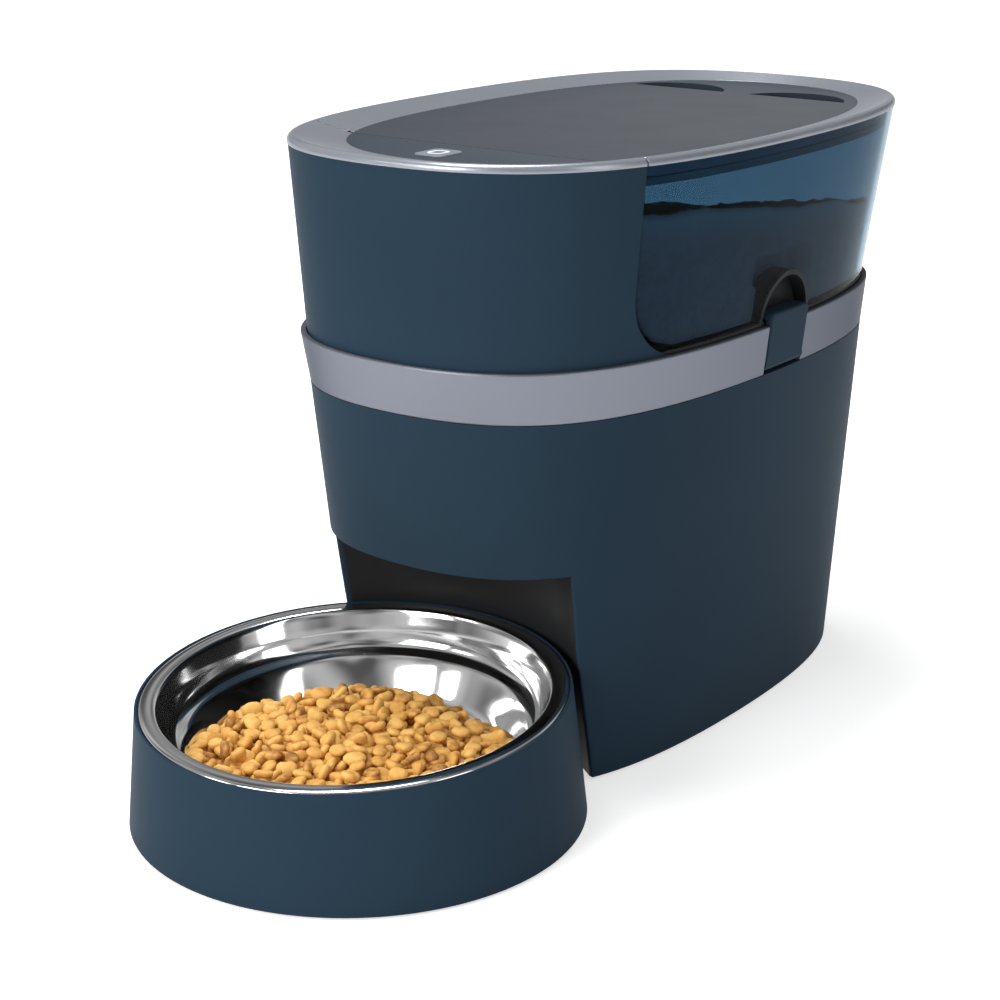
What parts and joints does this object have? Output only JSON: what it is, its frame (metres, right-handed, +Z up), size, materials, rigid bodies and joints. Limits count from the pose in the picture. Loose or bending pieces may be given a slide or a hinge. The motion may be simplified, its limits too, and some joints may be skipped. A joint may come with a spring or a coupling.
{
  "type": "automatic pet feeder",
  "caption": "Programmable dry-food pet feeder: tapering oval housing, clear hopper with lift-off lid, belt conveyor inside, and a round steel bowl in a docking holder.",
  "frame": {"origin": "on the floor, under the middle of the whole feeder's bounding box", "axes": "+Z up, bowl towards -Y, the hopper's right side towards +X"},
  "size_m": [0.2368, 0.5242, 0.326],
  "materials": {
    "slate_plastic": "fine moulded texture, soft satin",
    "recess_plastic": "smooth dark moulding",
    "inner_plastic": "plain moulded",
    "silver_paint": "satin silver paint on plastic",
    "smoke_clear": "clear blue-grey tinted plastic",
    "lid_smoke": "smoked gloss plastic",
    "control_gloss": "gloss panel",
    "button_grey": "satin key",
    "mark_white": "printed mark",
    "polished_steel": "mirror polished stainless steel",
    "foot_rubber": "soft matt rubber",
    "zinc_steel": "zinc plated",
    "battery_can": "printed can, plain",
    "contact_metal": "nickel plated",
    "circuit_board": "green solder mask",
    "chip_black": "moulded packages",
    "gear_nylon": "natural nylon",
    "belt_rubber": "smooth belt",
    "motor_steel": "plated steel",
    "bush_brass": "sintered bronze"
  },
  "bodies": {
    "base": {"base_shell": "slate_plastic", "bowl_recess_liner": "recess_plastic", "base_cover": "slate_plastic", "rubber_feet": "foot_rubber", "cover_screws": "zinc_steel", "battery_bay": "inner_plastic", "battery_cells": "battery_can", "battery_contacts": "contact_metal", "power_inlet": "inner_plastic", "main_circuit_board": "circuit_board", "board_components": "chip_black", "board_screws": "zinc_steel", "band_front": "silver_paint", "band_rear": "silver_paint", "latch_pins": "zinc_steel", "front_shell": "slate_plastic", "front_trim_ring": "silver_paint", "control_panel": "control_gloss", "button_switch": "chip_black", "control_board": "circuit_board", "panel_screws": "zinc_steel", "conveyor_tray": "inner_plastic", "tray_screws": "zinc_steel", "roller_bushes": "bush_brass", "conveyor_belt": "belt_rubber", "gear_motor": "motor_steel", "motor_bracket": "motor_steel", "motor_screws": "zinc_steel", "food_chute": "inner_plastic"},
    "bowl_holder": {"bowl_holder": "slate_plastic", "holder_pads": "foot_rubber"},
    "bowl": {"bowl": "polished_steel"},
    "hopper": {"hopper_tank": "smoke_clear", "hopper_ledge": "recess_plastic", "hopper_skirt": "recess_plastic", "latch_cups": "recess_plastic", "hopper_funnel": "inner_plastic"},
    "lid": {"lid_ring": "silver_paint", "lid_panel": "lid_smoke", "lid_seal": "foot_rubber"},
    "latch_right": {"latch_right": "slate_plastic"},
    "latch_left": {"latch_left": "slate_plastic"},
    "button": {"button_cap": "button_grey", "button_mark": "mark_white"},
    "drive_roller": {"drive_roller": "gear_nylon", "drive_gear": "gear_nylon"},
    "idler_roller": {"idler_roller": "gear_nylon"},
    "motor_pinion": {"motor_gear": "gear_nylon"},
    "battery_door": {"battery_door": "slate_plastic"}
  },
  "joints": [
    {"name": "holder_pull", "type": "slide", "parent": "base", "child": "bowl_holder", "axis": [0, -1, 0], "range_m": [0, 0.13]},
    {"name": "bowl_lift", "type": "slide", "parent": "bowl_holder", "child": "bowl", "axis": [0, -0.0593, 0.9982], "range_m": [0, 0.042]},
    {"name": "hopper_lift", "type": "slide", "parent": "base", "child": "hopper", "axis": [0, 0, 1], "range_m": [0, 0.15]},
    {"name": "lid_lift", "type": "slide", "parent": "hopper", "child": "lid", "axis": [0, 0, 1], "range_m": [0, 0.12]},
    {"name": "latch_right_swing", "type": "hinge", "parent": "base", "child": "latch_right", "pos_m": [0.1076, 0.07, 0.2056], "axis": [0, 1, 0], "range_deg": [0, 35]},
    {"name": "latch_left_swing", "type": "hinge", "parent": "base", "child": "latch_left", "pos_m": [-0.1076, 0.07, 0.2056], "axis": [0, -1, 0], "range_deg": [0, 35]},
    {"name": "button_press", "type": "slide", "parent": "base", "child": "button", "axis": [0, 0, -1], "range_m": [0, 0.0012], "stiffness_N_per_m": 400, "springref_m": -0.0005},
    {"name": "battery_door_slide", "type": "slide", "parent": "base", "child": "battery_door", "axis": [0, 1, 0], "range_m": [0, 0.012]},
    {"name": "conveyor_spin", "type": "hinge", "parent": "base", "child": "drive_roller", "pos_m": [0, -0.045, 0.152], "axis": [1, 0, 0], "continuous": true},
    {"name": "idler_spin", "type": "hinge", "parent": "base", "child": "idler_roller", "pos_m": [0, 0.125, 0.152], "axis": [1, 0, 0], "continuous": true},
    {"name": "motor_spin", "type": "hinge", "parent": "base", "child": "motor_pinion", "pos_m": [0.06, -0.009, 0.152], "axis": [1, 0, 0], "continuous": true}
  ],
  "couplings": [
    {"joint": "idler_spin", "follows": "conveyor_spin", "ratio": 1},
    {"joint": "motor_spin", "follows": "conveyor_spin", "ratio": -3}
  ]
}
